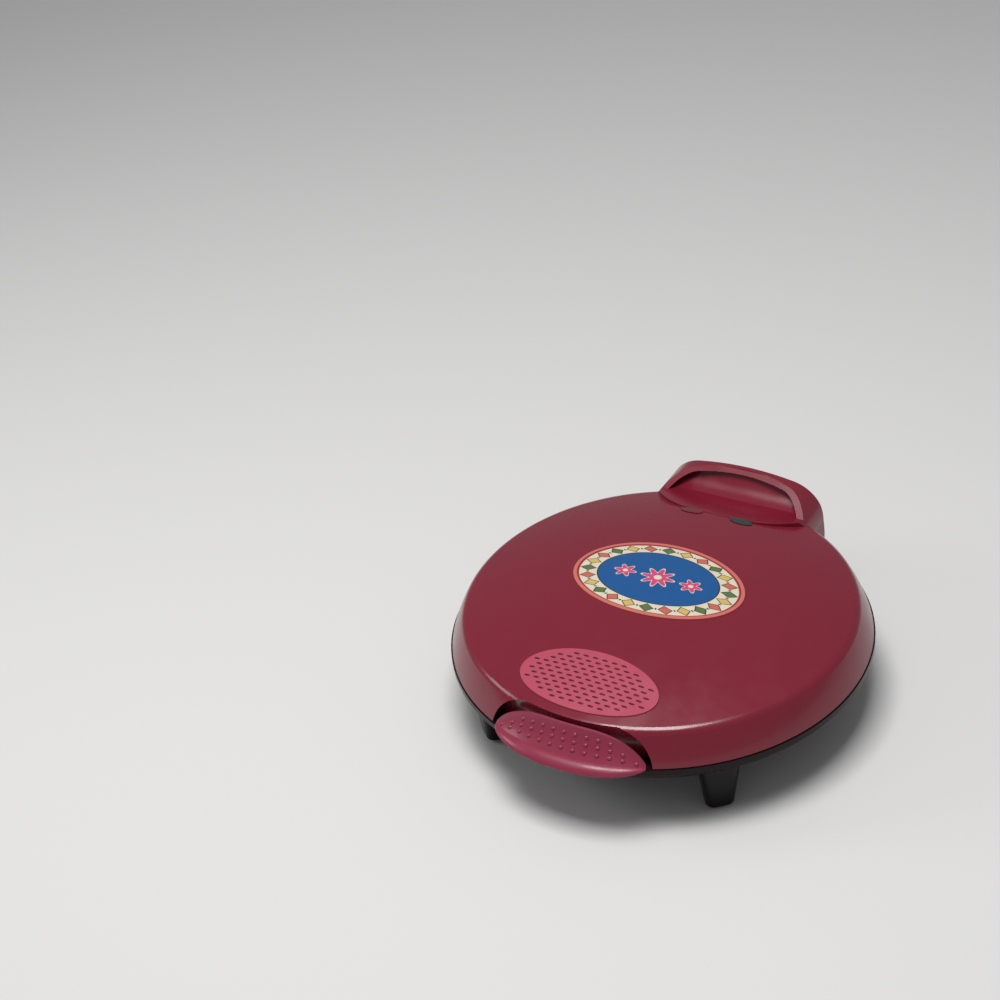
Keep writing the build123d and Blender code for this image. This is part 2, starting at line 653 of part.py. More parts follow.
# Stepped edge of the plate: three concentric rings, then the flat flange.
RING_STEPS = (
    (POCKET_R, FLOOR_Z),
    (POCKET_R + 3, FLOOR_Z + 2.6),
    (POCKET_R + 5, FLOOR_Z + 2.6),
    (POCKET_R + 6.5, FLOOR_Z + 1.6),
    (POCKET_R + 9, FLOOR_Z + 1.6),
    (POCKET_R + 10.5, FLOOR_Z + 4.0),
    (POCKET_R + 12.5, FLOOR_Z + 4.0),
    (POCKET_R + 14, FLOOR_Z + 3.0),
    (POCKET_R + 16.5, FLOOR_Z + 3.0),
    (LEDGE_R - 1.2, BASE_HIGH_Z),
)

with BuildPart() as cooking_plate:
    with BuildSketch(spoke(90)):
        with BuildLine():
            Polyline(
                (0, FLOOR_Z),
                *RING_STEPS,
                (PLATE_R, BASE_HIGH_Z),
                (PLATE_R, BASE_LEDGE_Z),
                (LEDGE_R - 0.5, BASE_LEDGE_Z),
                (LEDGE_R - 2.5, BASE_LEDGE_Z - 3.6),
                (POCKET_R + 8, UNDER_Z + 1.4),
                (POCKET_R, UNDER_Z),
                (0, UNDER_Z),
                close=True,
            )
        make_face()
    revolve(axis=DISC_AXIS)
    crest_z = BASE_HIGH_Z - RIDGE_DROP
    for i in range(RIDGE_COUNT):
        turn = 360 / RIDGE_COUNT * i
        along = spoke(turn)
        for r, half in zip(RIDGE_SPAN, RIDGE_HALF_W):
            section = Plane(
                along.origin + along.x_dir * r, x_dir=along.z_dir * -1, z_dir=along.x_dir
            )
            foot_z = FLOOR_Z - PLATE_T / 4
            with BuildSketch(section):
                Polygon(
                    (-half, foot_z),
                    (half, foot_z),
                    (CREST_HALF_W, crest_z),
                    (-CREST_HALF_W, crest_z),
                    align=None,
                )
        loft()
    with BuildSketch(level(FLOOR_Z)):
        Circle(RIDGE_SPAN[0] + 2)
    extrude(amount=POCKET_DEPTH - RIDGE_DROP, taper=20)
    with BuildSketch(level(CLAMP_Z + CLAMP_T)):
        with Locations(*CLAMP_SCREWS):
            Circle(POST_R)
    extrude(amount=UNDER_Z - CLAMP_Z - CLAMP_T)
    with BuildSketch(level(SHIELD_Z + SHIELD_T)):
        with Locations(*SHIELD_POSTS):
            Circle(POST_R)
    extrude(amount=SHIELD_DROP)
    for points, seat_z, depth in (
        (CLAMP_SCREWS, CLAMP_Z + CLAMP_T, SCREW_BITE),
        (SHIELD_POSTS, SHIELD_Z + SHIELD_T, SCREW_BITE),
        (PLATE_SCREWS, BASE_LEDGE_Z, FLANGE_T * 0.7),
    ):
        with BuildSketch(level(seat_z)):
            with Locations(*points):
                Circle(SCREW_R)
        extrude(amount=depth, mode=Mode.SUBTRACT)
save_pair(cooking_plate, "cooking_plate")

with BuildPart() as heating_element:
    with BuildLine(level(ELEMENT_Z)) as ring_path:
        CenterArc((0, 0), ELEMENT_R, 90 + ELEMENT_OPEN_DEG, 360 - 2 * ELEMENT_OPEN_DEG)
    with BuildSketch(Plane(ring_path.line @ 0, z_dir=ring_path.line % 0)):
        Circle(ELEMENT_TUBE_R)
    sweep(path=ring_path.line)
    for end, sign in ((0, -1), (1, 1)):
        start = ring_path.line @ end
        heading = (ring_path.line % end) * sign
        elbow_plane = Plane(start, x_dir=heading, z_dir=heading.cross(Vector(0, 0, -1)))
        with BuildLine(elbow_plane) as elbow:
            JernArc((0, 0), (1, 0), ELEMENT_BEND_R, 90)
        with BuildSketch(Plane(start, z_dir=heading)):
            Circle(ELEMENT_TUBE_R)
        sweep(path=elbow.line)
    for tail in TAILS:
        with BuildSketch(level(ELEMENT_Z - ELEMENT_BEND_R)):
            with Locations(tail):
                Circle(ELEMENT_TUBE_R)
        extrude(amount=-ELEMENT_TAIL)
        with BuildSketch(level(ELEMENT_Z - ELEMENT_BEND_R - ELEMENT_TAIL)):
            with Locations(tail):
                Circle(TERMINAL_R)
        extrude(amount=-TERMINAL_L)
save_pair(heating_element, "heating_element")

with BuildPart() as element_clamps:
    with BuildSketch(level(CLAMP_Z)):
        for angle in CLAMP_DEGS:
            with Locations((ELEMENT_R * cos(radians(angle)), ELEMENT_R * sin(radians(angle)))):
                SlotCenterToCenter(2 * CLAMP_REACH, CLAMP_W, rotation=angle)
        with Locations(*CLAMP_SCREWS):
            Circle(SCREW_R + SCREW_CLEAR, mode=Mode.SUBTRACT)
    extrude(amount=CLAMP_T)
save_pair(element_clamps, "element_clamps")

with BuildPart() as heat_shield:
    with BuildSketch(level(SHIELD_Z)):
        Circle(SHIELD_R)
    extrude(amount=SHIELD_DROP + SHIELD_T)
    with BuildSketch(level(SHIELD_Z + SHIELD_T)):
        Circle(SHIELD_R - SHIELD_T)
    extrude(amount=SHIELD_DROP, mode=Mode.SUBTRACT)
    with BuildSketch(level(SHIELD_Z)):
        with Locations(*SHIELD_POSTS):
            Circle(SCREW_R + SCREW_CLEAR)
        with Locations(*TAILS):
            Circle(ELEMENT_TUBE_R + SENSOR_CLEAR)
        with Locations(SENSOR_AT):
            Circle(SENSOR_R + SENSOR_CLEAR)
    extrude(amount=SHIELD_T, mode=Mode.SUBTRACT)
    fillet(heat_shield.edges().group_by(Axis.Z)[0].sort_by(SortBy.LENGTH)[-1], SHIELD_T * 0.8)
save_pair(heat_shield, "heat_shield")

save_pair(screws(CLAMP_SCREWS, CLAMP_Z, CLAMP_T + SCREW_BITE), "clamp_screws")
save_pair(screws(SHIELD_POSTS, SHIELD_Z, SHIELD_T + SCREW_BITE), "shield_screws")
save_pair(screws(PLATE_SCREWS, BASE_LEDGE_Z - LEDGE_T, LEDGE_T + FLANGE_T * 0.7), "plate_screws")

# ---------------------------------------------------------------- base shell
def bowl_profile(inset, high):
    """Half section of the base bowl, drawn inset from its outer face, up to height high."""
    floor_z = BASE_FLOOR_Z + inset
    turn_r = ((BASE_HIP[0] - BASE_FLOOR_R) ** 2 + (BASE_HIP[1] - BASE_FLOOR_Z) ** 2) / (
        2 * (BASE_HIP[1] - BASE_FLOOR_Z)
    )
    scale = 1 - inset / turn_r
    turn_z = BASE_FLOOR_Z + turn_r
    hip = (
        BASE_FLOOR_R + (BASE_HIP[0] - BASE_FLOOR_R) * scale,
        turn_z + (BASE_HIP[1] - turn_z) * scale,
    )
    band_z = BASE_HIGH_Z - RIM_BAND
    with BuildSketch(spoke(90)) as profile:
        with BuildLine():
            Line((0, floor_z), (BASE_FLOOR_R, floor_z))
            TangentArc((BASE_FLOOR_R, floor_z), hip, tangent=(1, 0))
            Polyline(hip, (RIM_R - inset, band_z), (RIM_R - inset, high), (0, high), (0, floor_z))
        make_face()
    return profile.sketch


def leg_turn(x, y):
    """Turn that sets a leg's long side along the rim."""
    return degrees(asin(LEG_X / sqrt(LEG_X**2 + LEG_Y**2))) * (-1 if x * y > 0 else 1)


def leg_block(low, high):
    """The four tapered legs between two heights."""
    slope = [(LEG_TOP[i] - LEG_TOE[i]) / (BASE_FLOOR_Z - FOOT_PAD_T) for i in (0, 1)]
    with BuildPart() as block:
        for x, y in LEG_SPOTS:
            for z in (low, high):
                size = [LEG_TOE[i] + slope[i] * (z - FOOT_PAD_T) for i in (0, 1)]
                with BuildSketch(level(z)):
                    with Locations(Location((x, y, 0), (0, 0, leg_turn(x, y)))):
                        RectangleRounded(*size, LEG_ROUND)
            loft()
    return block.part


LEG_SPOTS = [(sx * LEG_X, sy * LEG_Y) for sx in (-1, 1) for sy in (-1, 1)]
CATCH_SCREWS = [(x, -(LEDGE_R + SEAT_R) / 2) for x in (-8.0, 8.0)]
CATCH_HIGH_Z = BASE_LEDGE_Z - LEDGE_T
BAY_FLOOR_HALF_W = LUG_IN_X + 3

with BuildPart() as bowl_room:
    revolve(bowl_profile(BASE_WALL, BASE_HIGH_Z + 1), axis=DISC_AXIS)
    with BuildSketch(level(BACK_LOW_Z + BASE_WALL)):
        with Locations((0, (REAR_REACH - BASE_WALL) / 2)):
            RectangleRounded(2 * (BACK_HALF_W - BASE_WALL), REAR_REACH - BASE_WALL, BACK_ROUND - BASE_WALL)
    extrude(amount=BACK_TOP_Z - BACK_LOW_Z - 2 * BASE_WALL)

with BuildPart() as leg_bosses:
    with BuildSketch(level(BASE_FLOOR_Z)):
        with Locations(*LEG_SPOTS):
            Circle(LEG_BOSS_R)
    extrude(amount=LEG_SCREW_SEAT_Z - BASE_FLOOR_Z)
    revolve(bowl_profile(BASE_WALL / 2, BASE_HIGH_Z), axis=DISC_AXIS, mode=Mode.INTERSECT)

with BuildPart() as base_shell:
    revolve(bowl_profile(0, BASE_HIGH_Z), axis=DISC_AXIS)
    with BuildSketch(level(BACK_LOW_Z)):
        with Locations((0, REAR_REACH / 2)):
            RectangleRounded(2 * BACK_HALF_W, REAR_REACH, BACK_ROUND)
    extrude(amount=BACK_TOP_Z - BACK_LOW_Z)
    add(bowl_room.part, mode=Mode.SUBTRACT)
    # bosses inside the bowl for the leg screws
    add(leg_bosses.part)
    # rim, riser and the ledge that the lower plate seats in
    with BuildSketch(level(BASE_HIGH_Z - BASE_WALL)):
        Circle(RIM_R - BASE_WALL / 2)
        Circle(SEAT_R, mode=Mode.SUBTRACT)
    extrude(amount=BASE_WALL)
    with BuildSketch(level(CATCH_HIGH_Z)):
        Circle(RISER_R)
        Circle(SEAT_R, mode=Mode.SUBTRACT)
    extrude(amount=BASE_HIGH_Z - CATCH_HIGH_Z)
    with BuildSketch(level(CATCH_HIGH_Z)):
        Circle(RISER_R)
        Circle(LEDGE_R, mode=Mode.SUBTRACT)
    extrude(amount=LEDGE_T)
    # the hinge bay: cut through the rim at the back, with a wall in front of it and a floor
    with BuildSketch(level(BACK_TOP_Z)):
        with Locations((0, REAR_REACH)):
            Rectangle(2 * LUG_IN_X, 2 * (REAR_REACH - RISER_R))
        with Locations((0, HINGE_Y + RIM_R)):
            Rectangle(2 * RIM_R, 2 * RIM_R)
    extrude(amount=BASE_HIGH_Z, mode=Mode.SUBTRACT)
    with BuildSketch(level(BACK_TOP_Z - BACK_FLOOR_T)):
        Circle(RIM_R - BASE_WALL / 2)
        Circle(SEAT_R, mode=Mode.SUBTRACT)
        with Locations((0, RIM_R)):
            Rectangle(2 * BAY_FLOOR_HALF_W, RIM_R, mode=Mode.INTERSECT)
    extrude(amount=BACK_FLOOR_T)
    with BuildSketch(level(BACK_TOP_Z - BACK_FLOOR_T)):
        Circle(RISER_R)
        Circle(SEAT_R, mode=Mode.SUBTRACT)
        with Locations((0, RIM_R)):
            Rectangle(2 * BAY_FLOOR_HALF_W, RIM_R, mode=Mode.INTERSECT)
    extrude(amount=CATCH_HIGH_Z - BACK_TOP_Z + BACK_FLOOR_T)
    # the two lugs that carry the hinge tubes
    for x in (-LUG_OUT_X, LUG_IN_X):
        add(hinge_cylinder(BARREL_R, x, x + LUG_T))
        with BuildSketch(across(x)):
            with Locations((HINGE_Y - LUG_FOOT / 2, (BACK_TOP_Z + HINGE_Z) / 2)):
                Rectangle(LUG_FOOT, HINGE_Z - BACK_TOP_Z)
        extrude(amount=LUG_T)
        add(hinge_cylinder(TUBE_R, x, x + LUG_T), mode=Mode.SUBTRACT)
    with BuildSketch(level(BACK_TOP_Z - BACK_FLOOR_T)):
        with Locations((-WIRE_RISE_X, WIRE_Y), (WIRE_RISE_X, WIRE_Y)):
            Circle(WIRE_HOLE_R)
    extrude(amount=HINGE_Z - BACK_TOP_Z + BACK_FLOOR_T, mode=Mode.SUBTRACT)
    # slot for the latch hook, and holes for the screws and the cord gland
    with BuildSketch(level(BASE_HIGH_Z - BASE_WALL)):
        with Locations((0, -(RISER_R + HOOK_SLOT_FRONT) / 2)):
            Rectangle(HOOK_W + 4, HOOK_SLOT_FRONT - RISER_R)
    extrude(amount=BASE_WALL, mode=Mode.SUBTRACT)
    with BuildSketch(level(CATCH_HIGH_Z)):
        with Locations(*PLATE_SCREWS):
            Circle(SCREW_R + SCREW_CLEAR)
        with Locations(*CATCH_SCREWS):
            Circle(CATCH_SCREW_R)
    extrude(amount=LEDGE_T, mode=Mode.SUBTRACT)
    with BuildSketch(level(BASE_FLOOR_Z - 1)):
        with Locations(*LEG_SPOTS):
            Circle(SCREW_R + SCREW_CLEAR)
    extrude(amount=LEG_SCREW_SEAT_Z - BASE_FLOOR_Z + 1, mode=Mode.SUBTRACT)
    with BuildSketch(level(BACK_LOW_Z)):
        with Locations((GLAND_X, GLAND_Y)):
            Circle(GLAND_R)
    extrude(amount=BASE_WALL, mode=Mode.SUBTRACT)
save(base_shell, "base_shell")

# ---------------------------------------------------------------- legs
with BuildPart() as foot_pads:
    with BuildSketch(level(0)):
        for x, y in LEG_SPOTS:
            with Locations(Location((x, y, 0), (0, 0, leg_turn(x, y)))):
                RectangleRounded(*FOOT_PAD, FOOT_PAD_ROUND)
    extrude(amount=FOOT_PAD_T + FOOT_PAD_SINK)

with BuildPart() as legs:
    add(leg_block(FOOT_PAD_T, LEG_HIGH_Z))
    fillet(legs.edges().group_by(Axis.Z)[0], LEG_TOE_ROUND)
    revolve(bowl_profile(0, BASE_HIGH_Z), axis=DISC_AXIS, mode=Mode.SUBTRACT)
    add(foot_pads.part, mode=Mode.SUBTRACT)
    with BuildSketch(level(LEG_SCREW_SEAT_Z - LEG_SCREW_L)):
        with Locations(*LEG_SPOTS):
            Circle(SCREW_R)
    extrude(amount=LEG_SCREW_L, mode=Mode.SUBTRACT)
save(legs, "legs")

with BuildPart() as rubber_feet:
    add(foot_pads.part)
    fillet(rubber_feet.edges().group_by(Axis.Z)[0], FOOT_PAD_T / 4)
save(rubber_feet, "rubber_feet")

save(screws(LEG_SPOTS, LEG_SCREW_SEAT_Z, -LEG_SCREW_L), "leg_screws")

# ---------------------------------------------------------------- hinge tubes
for name, x in (("left", -LUG_OUT_X), ("right", LUG_OUT_X - TUBE_L)):
    with BuildPart() as tube:
        add(hinge_cylinder(TUBE_R, x, x + TUBE_L))
        add(hinge_cylinder(TUBE_BORE_R, x, x + TUBE_L), mode=Mode.SUBTRACT)
        with BuildSketch(level(HINGE_Z - TUBE_R)):
            with Locations((-WIRE_RISE_X, WIRE_Y), (WIRE_RISE_X, WIRE_Y)):
                Circle(WIRE_HOLE_R)
        extrude(amount=TUBE_R, mode=Mode.SUBTRACT)
    save(tube, f"hinge_tube_{name}")

# ---------------------------------------------------------------- latch
# Points of the middle section as (radius, z): the concave front from top edge to ridge, the convex grip
# under the ridge, the hollow back, the inner face and the top edge.
HANDLE_FACE = ((LIP_REACH - 19.8, 75.8), (LIP_REACH - 15.3, 66.5), (LIP_REACH - 8.0, 58.2))
HANDLE_LIP = ((LIP_REACH - 1.3, 55.2), (LIP_REACH, 53.2), (LIP_REACH - 2.0, 50.6))
HANDLE_BACK = ((LIP_REACH - 5.5, 50.6), (LIP_REACH - 5.5, 53.2), (LIP_REACH - 10.5, 55.4))
HANDLE_INNER = ((LIP_REACH - 18.3, 66.0), (LIP_REACH - 21.9, 75.0))
HANDLE_TOP = (LIP_REACH - 21.3, 76.0)


def handle_section(t):
    """Section of the handle at a fraction t of its half width; it shrinks towards the tips."""
    swell = (1 - abs(t) ** HANDLE_TAPER[0]) ** HANDLE_TAPER[1]
    angle = degrees(asin(t * HANDLE_HALF_W / SKIRT_R))

    def at(point):
        return (
            SKIRT_R + (point[0] - SKIRT_R) * swell,
            HANDLE_TIP_Z + (point[1] - HANDLE_TIP_Z) * swell,
        )

    with BuildSketch(spoke(angle)) as section:
        with BuildLine():
            ThreePointArc(*[at(p) for p in HANDLE_FACE])
            ThreePointArc(at(HANDLE_FACE[2]), at(HANDLE_LIP[0]), at(HANDLE_LIP[1]))
            Polyline(*[at(p) for p in (HANDLE_LIP[1], HANDLE_LIP[2], *HANDLE_BACK)])
            ThreePointArc(at(HANDLE_BACK[2]), *[at(p) for p in HANDLE_INNER])
            Polyline(*[at(p) for p in (HANDLE_INNER[1], HANDLE_TOP, HANDLE_FACE[0])])
        make_face()
    return section.sketch


HANDLE_PARTS = [handle_section(t) for t in HANDLE_SECTIONS]

with BuildPart() as handle_panel:
    loft(sections=HANDLE_PARTS)

with BuildPart() as latch_handle:
    add(handle_panel.part)
    for start in (LATCH_LUG_X, -LATCH_LUG_X - LATCH_LUG_T):
        with BuildSketch(across(start)):
            with Locations((-LATCH_R, LATCH_Z)):
                Circle(LATCH_LUG_R)
                Polygon(
                    (0, LATCH_LUG_R),
                    (-LATCH_LUG_REACH[0], LATCH_LUG_R),
                    (-LATCH_LUG_REACH[1], LATCH_LUG_STEP - LATCH_LUG_R),
                    (-LATCH_LUG_REACH[1], -LATCH_LUG_R),
                    (0, -LATCH_LUG_R),
                    align=None,
                )
        extrude(amount=LATCH_LUG_T)
        with BuildSketch(across(start)):
            with Locations((-LATCH_R, LATCH_Z)):
                Circle(LATCH_PIN_R + RUNNING_CLEAR)
        extrude(amount=LATCH_LUG_T, mode=Mode.SUBTRACT)
    # web under the hook's flange
    web_front = (HANDLE_BACK[1][0] + HANDLE_LIP[2][0]) / 2
    web_back = HOOK_BACK_Y + HOOK_T
    with BuildSketch(level(HOOK_TOP_Z - HOOK_T - WEB_T)):
        with Locations((0, -(web_front + web_back) / 2)):
            Rectangle(HOOK_W + 2, web_front - web_back)
    extrude(amount=WEB_T)
    with BuildSketch(level(HOOK_TOP_Z - HOOK_T - WEB_T)):
        with Locations(*HOOK_SCREWS):
            Circle(HOOK_SCREW_R)
    extrude(amount=WEB_T, mode=Mode.SUBTRACT)
save(latch_handle, "latch_handle")

with BuildPart() as latch_hook:
    with BuildSketch(across(-HOOK_W / 2)):
        with BuildLine():
            Polyline(
                (-HOOK_FLANGE_Y, HOOK_TOP_Z - HOOK_T),
                (-HOOK_FLANGE_Y, HOOK_TOP_Z),
                (-HOOK_BACK_Y, HOOK_TOP_Z),
                (-HOOK_BACK_Y, HOOK_TOE_Z + HOOK_NOSE_T),
                (-HOOK_BACK_Y + HOOK_NOSE, HOOK_TOE_Z + HOOK_NOSE_T),
                (-HOOK_BACK_Y + HOOK_NOSE, HOOK_TOE_Z + HOOK_NOSE_T / 2),
                (-HOOK_BACK_Y + HOOK_NOSE / 3, HOOK_TOE_Z),
                (-HOOK_BACK_Y - HOOK_T, HOOK_TOE_Z),
                (-HOOK_BACK_Y - HOOK_T, HOOK_TOP_Z - HOOK_T),
                close=True,
            )
        make_face()
    extrude(amount=HOOK_W)
    with BuildSketch(level(HOOK_TOP_Z - HOOK_T)):
        with Locations(*HOOK_SCREWS):
            Circle(HOOK_SCREW_R + SCREW_CLEAR)
    extrude(amount=HOOK_T, mode=Mode.SUBTRACT)
save(latch_hook, "latch_hook")
save(screws(HOOK_SCREWS, HOOK_TOP_Z, -HOOK_T - WEB_T, HOOK_SCREW_R, SMALL_HEAD), "hook_screws")

with BuildPart() as latch_catch:
    with BuildSketch(level(CATCH_HIGH_Z - CATCH_T)):
        with Locations((0, -(HOOK_BACK_Y - CATCH_REACH + CATCH_BACK_Y) / 2)):
            RectangleRounded(CATCH_W, HOOK_BACK_Y - CATCH_REACH - CATCH_BACK_Y, 1.5)
        with Locations(*CATCH_SCREWS):
            Circle(CATCH_SCREW_R + SCREW_CLEAR, mode=Mode.SUBTRACT)
    extrude(amount=CATCH_T)
save(latch_catch, "latch_catch")
save(
    screws(CATCH_SCREWS, CATCH_HIGH_Z - CATCH_T, CATCH_T + LEDGE_T, CATCH_SCREW_R, SMALL_HEAD),
    "catch_screws",
)

with BuildPart() as latch_pin:
    with BuildSketch(across(-LATCH_PIN_L / 2)):
        with Locations((-LATCH_R, LATCH_Z)):
            Circle(LATCH_PIN_R)
    extrude(amount=LATCH_PIN_L)
save(latch_pin, "latch_pin")

with BuildPart() as latch_spring:
    with BuildSketch(across(-SPRING_HALF_L)):
        with Locations((-LATCH_R, LATCH_Z)):
            Circle(SPRING_R)
            Circle(LATCH_PIN_R + 2 * RUNNING_CLEAR, mode=Mode.SUBTRACT)
    extrude(amount=2 * SPRING_HALF_L)
    with BuildSketch(level(LATCH_Z)):
        with Locations((-SPRING_HALF_L + SPRING_WIRE_R, SPRING_R - SPRING_WIRE_R - LATCH_R)):
            Circle(SPRING_WIRE_R)
    extrude(amount=SPRING_R + SPRING_LEG_L)
    with BuildSketch(level(LATCH_Z)):
        with Locations((SPRING_HALF_L - SPRING_WIRE_R, SPRING_WIRE_R - SPRING_R - LATCH_R)):
            Circle(SPRING_WIRE_R)
    extrude(amount=-SPRING_R)
save(latch_spring, "latch_spring")

# ---------------------------------------------------------------- electrical pieces
UPPER_BACK_Z = 2 * PARTING_Z - UNDER_Z
BLADE_Z = UPPER_BACK_Z + THERMOSTAT_H
GLAND_LOW_Z = BACK_LOW_Z - GLAND_LIP_T
BLOCK_Z = BACK_LOW_Z + BASE_WALL
BLOCK_Y = REAR_REACH - BASE_WALL - BLOCK[1] / 2 - 0.5

with BuildPart() as thermostat:
    with BuildSketch(level(UPPER_BACK_Z)):
        with Locations(SENSOR_AT):
            Circle(SENSOR_R)
    extrude(amount=THERMOSTAT_H)
    fillet(thermostat.edges().group_by(Axis.Z)[-1], 1.0)
    with BuildSketch(level(BLADE_Z)):
        with Locations(SENSOR_AT):
            with Locations((-BLADE_X, 0), (BLADE_X, 0)):
                Rectangle(BLADE[0], BLADE[1])
    extrude(amount=BLADE[2])
save(thermostat, "thermostat")

with BuildPart() as thermal_fuse:
    with BuildSketch(across(SENSOR_AT[0] - FUSE_L / 2)):
        with Locations((SENSOR_AT[1], UNDER_Z - FUSE_R)):
            Circle(FUSE_R)
    extrude(amount=FUSE_L)
    chamfer(thermal_fuse.edges().filter_by(GeomType.CIRCLE), FUSE_R / 4)
save(thermal_fuse, "thermal_fuse")

with BuildPart() as terminal_block:
    with BuildSketch(level(BLOCK_Z)):
        with Locations((BLOCK_X, BLOCK_Y)):
            Rectangle(BLOCK[0], BLOCK[1])
    extrude(amount=BLOCK[2])
    with BuildSketch(level(BLOCK_Z + BLOCK[2] / 2)):
        with Locations((BLOCK_X, BLOCK_Y)):
            with GridLocations(BLOCK[0] / 3, BLOCK[1] / 2, 3, 2):
                Circle(BLOCK_SCREW_R)
    extrude(amount=BLOCK[2] / 2, mode=Mode.SUBTRACT)
save(terminal_block, "terminal_block")

with BuildPart() as cord_gland:
    with BuildSketch(level(GLAND_LOW_Z)):
        with Locations((GLAND_X, GLAND_Y)):
            Circle(GLAND_LIP_R)
    extrude(amount=GLAND_LIP_T)
    with BuildSketch(level(GLAND_LOW_Z)):
        with Locations((GLAND_X, GLAND_Y)):
            Circle(GLAND_R)
    extrude(amount=GLAND_L)
    with BuildSketch(level(GLAND_LOW_Z)):
        with Locations((GLAND_X, GLAND_Y)):
            Circle(GLAND_BORE_R)
    extrude(amount=GLAND_L, mode=Mode.SUBTRACT)
save(cord_gland, "cord_gland")

# Wires as (x, y behind the disc axis, z); they meet end to end inside the hinge tubes.
WIRE_END_X = LUG_OUT_X - TUBE_L + 0.1
TAIL_X = TAILS[1][0]
PIN_Y = TAILS[1][1] + TERMINAL_R
LOW_PIN_Z = ELEMENT_Z - ELEMENT_BEND_R - ELEMENT_TAIL - TERMINAL_L / 2
HIGH_PIN_Z = 2 * PARTING_Z - LOW_PIN_Z
BASE_WIRES = [
    [(BLOCK_X + s * BLOCK[0] / 2, WIRE_Y, 35.0), (s * WIRE_RISE_X, WIRE_Y, 35.0),
     (s * WIRE_RISE_X, WIRE_Y, HINGE_Z), (s * WIRE_END_X, WIRE_Y, HINGE_Z)]
    for s in (-1, 1)
] + [
    [(BLOCK_X + s * 8, BLOCK_Y - BLOCK[1] / 2, 30.5), (BLOCK_X + s * 8, REAR_REACH - 26, 29.2),
     (BLOCK_X + s * 8, REAR_REACH - 38, 29.0), (s * TAIL_X, REAR_REACH - 52, LOW_PIN_Z),
     (s * TAIL_X, PIN_Y, LOW_PIN_Z)]
    for s in (-1, 1)
]
LID_WIRES = [
    [(-WIRE_END_X + 0.3, WIRE_Y, HINGE_Z), (-8.0, WIRE_Y, HINGE_Z), (-8.0, WIRE_Y, 68.0),
     (-8.0, REAR_REACH - 28, 76.0), (-10.0, REAR_REACH - 40, 77.6),
     (-TAIL_X, REAR_REACH - 56, 77.6), (-TAIL_X, PIN_Y, HIGH_PIN_Z)],
    [(WIRE_END_X - 0.3, WIRE_Y, HINGE_Z), (8.0, WIRE_Y, HINGE_Z), (8.0, WIRE_Y, 68.0),
     (8.0, REAR_REACH - 28, 76.0), (10.0, REAR_REACH - 40, 77.6),
     (26.0, REAR_REACH - 56, 77.6), (26.0, SENSOR_AT[1] + 2.4, 78.6)],
    [(34.0, SENSOR_AT[1] + 2.4, 78.6), (34.0, 70.0, HIGH_PIN_Z),
     (TAIL_X + 1.05, PIN_Y - TERMINAL_R - 1.05, HIGH_PIN_Z)],
]
for name, wires in (("base_wiring", BASE_WIRES), ("lid_wiring", LID_WIRES)):
    with BuildPart() as wiring:
        for path in wires:
            add(rod(path, WIRE_R, WIRE_BEND_R))
    save(wiring, name)
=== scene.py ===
import json
import math

import bmesh
import bpy
from mathutils import Matrix, Vector


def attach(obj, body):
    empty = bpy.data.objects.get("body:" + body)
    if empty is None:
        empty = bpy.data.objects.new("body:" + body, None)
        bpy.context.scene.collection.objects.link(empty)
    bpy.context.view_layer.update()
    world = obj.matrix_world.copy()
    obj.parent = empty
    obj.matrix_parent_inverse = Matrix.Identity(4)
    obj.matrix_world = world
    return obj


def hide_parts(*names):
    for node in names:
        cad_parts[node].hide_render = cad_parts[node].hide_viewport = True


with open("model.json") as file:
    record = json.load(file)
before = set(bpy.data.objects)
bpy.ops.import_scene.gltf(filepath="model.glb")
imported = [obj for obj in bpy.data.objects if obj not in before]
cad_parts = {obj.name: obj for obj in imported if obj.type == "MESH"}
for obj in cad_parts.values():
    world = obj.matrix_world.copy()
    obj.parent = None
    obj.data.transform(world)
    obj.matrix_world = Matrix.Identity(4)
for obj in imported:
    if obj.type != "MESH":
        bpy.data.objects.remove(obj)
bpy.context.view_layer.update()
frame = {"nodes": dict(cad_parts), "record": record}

# ---- shader maths

class Wire:  # an output socket that plain Python arithmetic can use
    def __init__(self, finish, socket):
        self.finish = finish
        self.socket = socket

    def calc(self, operation, *others):
        return self.finish.node("ShaderNodeMath", {"operation": operation}, (self,) + others)

    def __add__(self, other):
        return self.calc("ADD", other)

    def __sub__(self, other):
        return self.calc("SUBTRACT", other)

    def __rsub__(self, other):
        return self.finish.node("ShaderNodeMath", {"operation": "SUBTRACT"}, (other, self))

    def __mul__(self, other):
        return self.calc("MULTIPLY", other)

    def __truediv__(self, other):
        return self.calc("DIVIDE", other)

    __radd__ = __add__
    __rmul__ = __mul__

    def ramp(self, low, high, toLow=0.0, toHigh=1.0):  # a smooth step from low to high
        values = {"Value": self, "From Min": low, "From Max": high, "To Min": toLow, "To Max": toHigh}
        return self.finish.node("ShaderNodeMapRange", {"interpolation_type": "SMOOTHSTEP"}, values)


